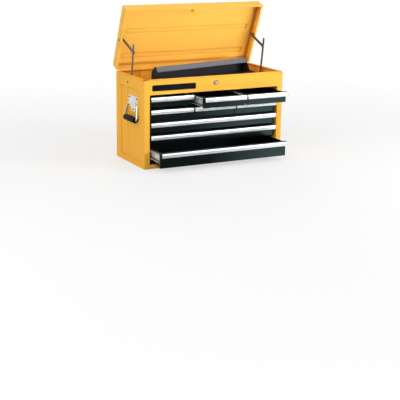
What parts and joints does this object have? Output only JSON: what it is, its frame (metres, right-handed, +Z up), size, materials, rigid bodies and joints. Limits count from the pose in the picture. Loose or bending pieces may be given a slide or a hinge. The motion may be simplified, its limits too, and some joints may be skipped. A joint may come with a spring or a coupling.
{
  "type": "tool chest",
  "caption": "Steel top chest for tools with rows of drawers on runners, a hinged lid held by folding stays, a front lock, drop handles and a loose tote tray in the top compartment.",
  "frame": {"origin": "centre of the flat base, on the surface that it stands on", "axes": "+X to the right seen from the front, +Y to the back, +Z up"},
  "size_m": [0.7062, 0.4325, 0.6535],
  "materials": {
    "yellow_paint": "powder coat with a fine orange peel, satin gloss",
    "black_paint": "black powder coat, satin",
    "zinc_steel": "zinc plated sheet, dull",
    "chrome_plate": "bright plated",
    "pull_aluminium": "extruded and bright anodised, fine lines along its length",
    "badge_black": "gloss, bare",
    "grip_black": "moulded, matt",
    "tray_grey": "dark grey enamel, satin",
    "ridge_grey": "grey enamel, satin",
    "stay_steel": "dark passivated zinc"
  },
  "bodies": {
    "chest_body": {"left_side_panel": "yellow_paint", "right_side_panel": "yellow_paint", "back_panel": "yellow_paint", "bottom_pan": "yellow_paint", "front_fascia": "yellow_paint", "compartment_floor": "yellow_paint", "divider_shelf": "black_paint", "left_divider": "black_paint", "right_divider": "black_paint", "cabinet_runners": "zinc_steel", "hinge_leaf_body": "yellow_paint", "hinge_pin": "zinc_steel", "lock_housing": "chrome_plate", "badge_plate": "badge_black", "left_handle_strap": "chrome_plate", "right_handle_strap": "chrome_plate", "handle_rivets": "chrome_plate", "rod_cover": "yellow_paint"},
    "lid": {"lid_shell": "yellow_paint", "hinge_leaf_lid": "yellow_paint", "lid_catch": "yellow_paint"},
    "left_stay_lower": {"left_stay_lower": "stay_steel"},
    "left_stay_upper": {"left_stay_upper": "stay_steel"},
    "right_stay_lower": {"right_stay_lower": "stay_steel"},
    "right_stay_upper": {"right_stay_upper": "stay_steel"},
    "lock": {"lock_plug": "chrome_plate", "lock_cam": "zinc_steel"},
    "left_handle": {"left_handle_bail": "chrome_plate", "left_handle_grip": "grip_black"},
    "right_handle": {"right_handle_bail": "chrome_plate", "right_handle_grip": "grip_black"},
    "tray": {"tote_tray": "tray_grey", "tray_ridge": "ridge_grey"},
    "row1_left_drawer": {"row1_left_drawer_box": "black_paint", "row1_left_drawer_runners": "zinc_steel", "row1_left_drawer_pull": "pull_aluminium"},
    "row1_middle_drawer": {"row1_middle_drawer_box": "black_paint", "row1_middle_drawer_runners": "zinc_steel", "row1_middle_drawer_pull": "pull_aluminium"},
    "row1_right_drawer": {"row1_right_drawer_box": "black_paint", "row1_right_drawer_runners": "zinc_steel", "row1_right_drawer_pull": "pull_aluminium"},
    "row2_left_drawer": {"row2_left_drawer_box": "black_paint", "row2_left_drawer_runners": "zinc_steel", "row2_left_drawer_pull": "pull_aluminium"},
    "row2_middle_drawer": {"row2_middle_drawer_box": "black_paint", "row2_middle_drawer_runners": "zinc_steel", "row2_middle_drawer_pull": "pull_aluminium"},
    "row2_right_drawer": {"row2_right_drawer_box": "black_paint", "row2_right_drawer_runners": "zinc_steel", "row2_right_drawer_pull": "pull_aluminium"},
    "row3_drawer": {"row3_drawer_box": "black_paint", "row3_drawer_runners": "zinc_steel", "row3_drawer_pull": "pull_aluminium"},
    "row4_drawer": {"row4_drawer_box": "black_paint", "row4_drawer_runners": "zinc_steel", "row4_drawer_pull": "pull_aluminium"},
    "row5_drawer": {"row5_drawer_box": "black_paint", "row5_drawer_runners": "zinc_steel", "row5_drawer_pull": "pull_aluminium"}
  },
  "joints": [
    {"name": "lid_hinge", "type": "hinge", "parent": "chest_body", "child": "lid", "pos_m": [0, 0.1454, 0.372], "axis": [-1, 0, 0], "range_deg": [-68, 0]},
    {"name": "left_stay_lower_pivot", "type": "hinge", "parent": "chest_body", "child": "left_stay_lower", "pos_m": [-0.315, 0.0203, 0.3422], "axis": [-1, 0, 0], "range_deg": [-74.07, 0]},
    {"name": "left_stay_upper_pivot", "type": "hinge", "parent": "lid", "child": "left_stay_upper", "pos_m": [-0.3126, 0.10746, 0.50702], "axis": [-1, 0, 0], "range_deg": [0, 75.29]},
    {"name": "right_stay_lower_pivot", "type": "hinge", "parent": "chest_body", "child": "right_stay_lower", "pos_m": [0.315, 0.0203, 0.3422], "axis": [-1, 0, 0], "range_deg": [-74.07, 0]},
    {"name": "right_stay_upper_pivot", "type": "hinge", "parent": "lid", "child": "right_stay_upper", "pos_m": [0.3126, 0.10746, 0.50702], "axis": [-1, 0, 0], "range_deg": [0, 75.29]},
    {"name": "lock_turn", "type": "hinge", "parent": "chest_body", "child": "lock", "pos_m": [0, -0.1425, 0.3455], "axis": [0, -1, 0], "range_deg": [0, 90]},
    {"name": "left_handle_swing", "type": "hinge", "parent": "chest_body", "child": "left_handle", "pos_m": [-0.32935, -0.0265, 0.257], "axis": [0, 1, 0], "range_deg": [0, 75]},
    {"name": "right_handle_swing", "type": "hinge", "parent": "chest_body", "child": "right_handle", "pos_m": [0.32935, -0.0265, 0.257], "axis": [0, -1, 0], "range_deg": [0, 75]},
    {"name": "tray_lift", "type": "slide", "parent": "chest_body", "child": "tray", "axis": [0, 0, 1], "range_m": [0, 0.12]},
    {"name": "row1_left_drawer_slide", "type": "slide", "parent": "chest_body", "child": "row1_left_drawer", "axis": [0, -1, 0], "range_m": [0, 0.2]},
    {"name": "row1_middle_drawer_slide", "type": "slide", "parent": "chest_body", "child": "row1_middle_drawer", "axis": [0, -1, 0], "range_m": [-0.092, 0.108]},
    {"name": "row1_right_drawer_slide", "type": "slide", "parent": "chest_body", "child": "row1_right_drawer", "axis": [0, -1, 0], "range_m": [-0.092, 0.108]},
    {"name": "row2_left_drawer_slide", "type": "slide", "parent": "chest_body", "child": "row2_left_drawer", "axis": [0, -1, 0], "range_m": [0, 0.2]},
    {"name": "row2_middle_drawer_slide", "type": "slide", "parent": "chest_body", "child": "row2_middle_drawer", "axis": [0, -1, 0], "range_m": [0, 0.2]},
    {"name": "row2_right_drawer_slide", "type": "slide", "parent": "chest_body", "child": "row2_right_drawer", "axis": [0, -1, 0], "range_m": [0, 0.2]},
    {"name": "row3_drawer_slide", "type": "slide", "parent": "chest_body", "child": "row3_drawer", "axis": [0, -1, 0], "range_m": [0, 0.2]},
    {"name": "row4_drawer_slide", "type": "slide", "parent": "chest_body", "child": "row4_drawer", "axis": [0, -1, 0], "range_m": [0, 0.2]},
    {"name": "row5_drawer_slide", "type": "slide", "parent": "chest_body", "child": "row5_drawer", "axis": [0, -1, 0], "range_m": [-0.103, 0.097]}
  ],
  "couplings": [
    {"joint": "left_stay_lower_pivot", "follows": "lid_hinge", "ratio": 1.0892},
    {"joint": "left_stay_upper_pivot", "follows": "lid_hinge", "ratio": -1.1072},
    {"joint": "right_stay_lower_pivot", "follows": "lid_hinge", "ratio": 1.0892},
    {"joint": "right_stay_upper_pivot", "follows": "lid_hinge", "ratio": -1.1072}
  ]
}
